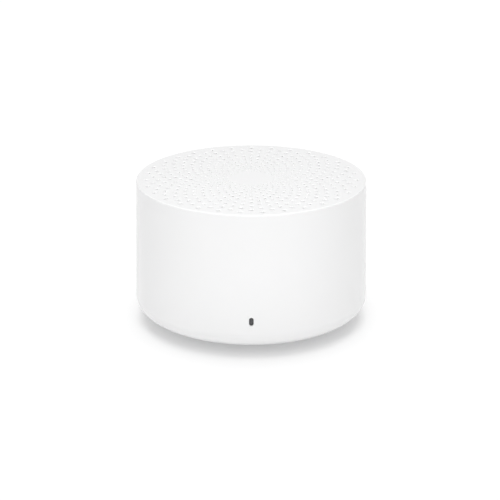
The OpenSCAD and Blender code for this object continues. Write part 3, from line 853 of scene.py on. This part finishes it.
lo, hi = cad("battery_cell")
TERRACE = 2.0  # the thin folded end of the pouch
cell = Loft()
cell.slab(hi.x - lo.x - TERRACE, hi.y - lo.y, lo.z, hi.z, 1.2, 0.9, (-TERRACE / 2, 0), steps=5)
cell.slab(TERRACE + 0.6, hi.y - lo.y - 1.6, lo.z + 1.2, lo.z + 1.4, 0.3, 0.05,
          (hi.x - TERRACE / 2 - 0.3, 0))
cell.build("pouch_cell", "battery_cell")


def chip(name, node, pins, pitch, sides):
    """A moulded chip and its flat leads, in a second piece, along the sides that face the given turns."""
    lo, hi = cad(node)
    mid = (lo + hi) / 2
    body = Loft()
    body.slab(hi.x - lo.x, hi.y - lo.y, lo.z + 0.08, hi.z, 0.1, 0.08, (mid.x, mid.y))
    body.build(name, node)
    leads = Loft()
    reach, width, thick = 0.5, pitch * 0.45, 0.14
    for turn in sides:
        c, s = round(math.cos(math.radians(turn))), round(math.sin(math.radians(turn)))
        half = (hi.x - lo.x) / 2 if c else (hi.y - lo.y) / 2
        for k in range(pins):
            along, out = (k - (pins - 1) / 2) * pitch, half + 0.2
            leads.slab(reach, width, lo.z, lo.z + thick, 0.03, 0.03,
                       (mid.x + c * out - s * along, mid.y + s * out + c * along), turn, 1)
    leads.build(name + "_leads", "clock_crystal", stands=False)


chip("radio_chip", "bluetooth_chip", 10, 0.6, (0, 90, 180, 270))
chip("amplifier", "amplifier_chip", 5, 0.7, (0, 180))
chip("charger", "charger_chip", 3, 0.9, (90, 270))

# the CAD nodes that stay in view, and the width of their rounded edges
EDGES = {"speaker_cup": 0.2, "driver_basket": 0.1, "circuit_board": 0.06, "cup_screws": 0.05,
         "board_screws": 0.05, "terminal_board": 0.06, "battery_board": 0.06, "usb_shell": 0.07,
         "usb_tongue": 0.06, "power_inductors": 0.2, "chip_capacitors": 0.08, "clock_crystal": 0.12,
         "battery_header": 0.12, "speaker_header": 0.12, "tact_switch": 0.1, "switch_plunger": 0.1,
         "status_led": 0.1, "speaker_leads": 0.0, "battery_leads": 0.0}
for node, width in EDGES.items():
    obj = frame["nodes"][node]
    weld = obj.modifiers.new("weld", "WELD")
    weld.merge_threshold = 0.002 * MM
    if width:
        edge = obj.modifiers.new("edge", "BEVEL")
        edge.width = width * MM
        edge.segments = 2
        edge.limit_method = "ANGLE"
        edge.angle_limit = math.radians(40)
    if not node.endswith("_board"):  # boards are flat, and shade as flat faces
        obj.data.polygons.foreach_set("use_smooth", [True] * len(obj.data.polygons))
        obj.modifiers.new("even_shading", "WEIGHTED_NORMAL")

# ---------------------------------------------------------------- stage, light, camera


def soft_sun(name, elevation, share, spread):
    """A broad, even light. Its elevation starts at the front and passes 90 overhead to the back.

    A white sheet that faces it shines at share."""
    data = bpy.data.lights.new(name, "SUN")
    data.energy = share * math.pi
    data.angle = math.radians(spread)
    obj = bpy.data.objects.new(name, data)
    bpy.context.scene.collection.objects.link(obj)
    e = math.radians(elevation)
    obj.rotation_mode = "QUATERNION"
    obj.rotation_quaternion = Vector((0, math.cos(e), -math.sin(e))).to_track_quat("-Z", "Y")


FLOOR_R, FLOOR_SIDES = 3, 96  # metres
floor_mesh = bpy.data.meshes.new("floor")
rim = [(FLOOR_R * math.cos(math.tau * k / FLOOR_SIDES), FLOOR_R * math.sin(math.tau * k / FLOOR_SIDES), 0)
       for k in range(FLOOR_SIDES)]
floor_mesh.from_pydata(rim, [], [list(range(FLOOR_SIDES))])
floor = bpy.data.objects.new("floor", floor_mesh)
bpy.context.scene.collection.objects.link(floor)
paper = moulded("floor_paper", (0.69, 0.69, 0.69), (0.685, 0.685, 0.685), 0.9, 700, 1e-6, specular=0.1)
surface = paper.node_tree.nodes["Principled BSDF"].inputs
surface["Emission Color"].default_value = (1, 1, 1, 1)
surface["Emission Strength"].default_value = 0.27  # lit a little from below, as on a light table
floor_mesh.materials.append(paper)

HORIZON, SKY = 1.0, 0.29  # the backdrop is white at eye level and dimmer overhead, and fades in between
FADE_LOW, FADE_HIGH = 0.03, 0.2
world = bpy.data.worlds.new("studio")
bpy.context.scene.world = world
world.use_nodes = True
n, links = world.node_tree.nodes, world.node_tree.links
split = n.new("ShaderNodeSeparateXYZ")
links.new(n.new("ShaderNodeTexCoord").outputs["Generated"], split.inputs[0])
fade = n.new("ShaderNodeMapRange")
fade.interpolation_type = "SMOOTHSTEP"
for name, value in (("From Min", FADE_LOW), ("From Max", FADE_HIGH), ("To Min", HORIZON), ("To Max", SKY)):
    fade.inputs[name].default_value = value
links.new(split.outputs["Z"], fade.inputs["Value"])
n["Background"].inputs["Color"].default_value = (1, 1, 1, 1)
links.new(fade.outputs["Result"], n["Background"].inputs["Strength"])

soft_sun("front_light", 42, 0.25, 50)
soft_sun("top_light", 90, 0.56, 50)
soft_sun("back_light", 125, 0.15, 60)

# a small soft panel in front, with a honeycomb grid, that brightens the middle of the wall
STRIP_TILT, STRIP_FAR, STRIP_RISE = math.radians(25), 0.6, 0.0135
strip = bpy.data.lights.new("front_strip", "AREA")
strip.shape = "RECTANGLE"
strip.size, strip.size_y, strip.spread = 0.042, 0.035, math.radians(3)
strip.energy = 0.0005
obj = bpy.data.objects.new("front_strip", strip)
bpy.context.scene.collection.objects.link(obj)
aim = Vector((0, -math.cos(STRIP_TILT), math.sin(STRIP_TILT)))
obj.location = STRIP_FAR * aim + STRIP_RISE * Vector((0, math.sin(STRIP_TILT), math.cos(STRIP_TILT)))
obj.rotation_mode = "QUATERNION"
obj.rotation_quaternion = (-aim).to_track_quat("-Z", "Y")

PITCH, DISTANCE = math.radians(20), 0.4
AIM = Vector((-0.000272, -0.000265, 0.015272))  # close to the middle of the object
cam_data = bpy.data.cameras.new("camera")
cam = bpy.data.objects.new("camera", cam_data)
bpy.context.scene.collection.objects.link(cam)
bpy.context.scene.camera = cam
cam_data.lens, cam_data.sensor_width = 132.3, 36
back = Vector((0, -math.cos(PITCH), math.sin(PITCH)))
cam.location = AIM + back * DISTANCE
cam.rotation_mode = "QUATERNION"
cam.rotation_quaternion = (-back).to_track_quat("-Z", "Y")
cam_data.clip_start, cam_data.clip_end = 0.05, 20

bpy.context.scene.view_settings.view_transform = "Standard"
bpy.context.scene.view_settings.look = "None"
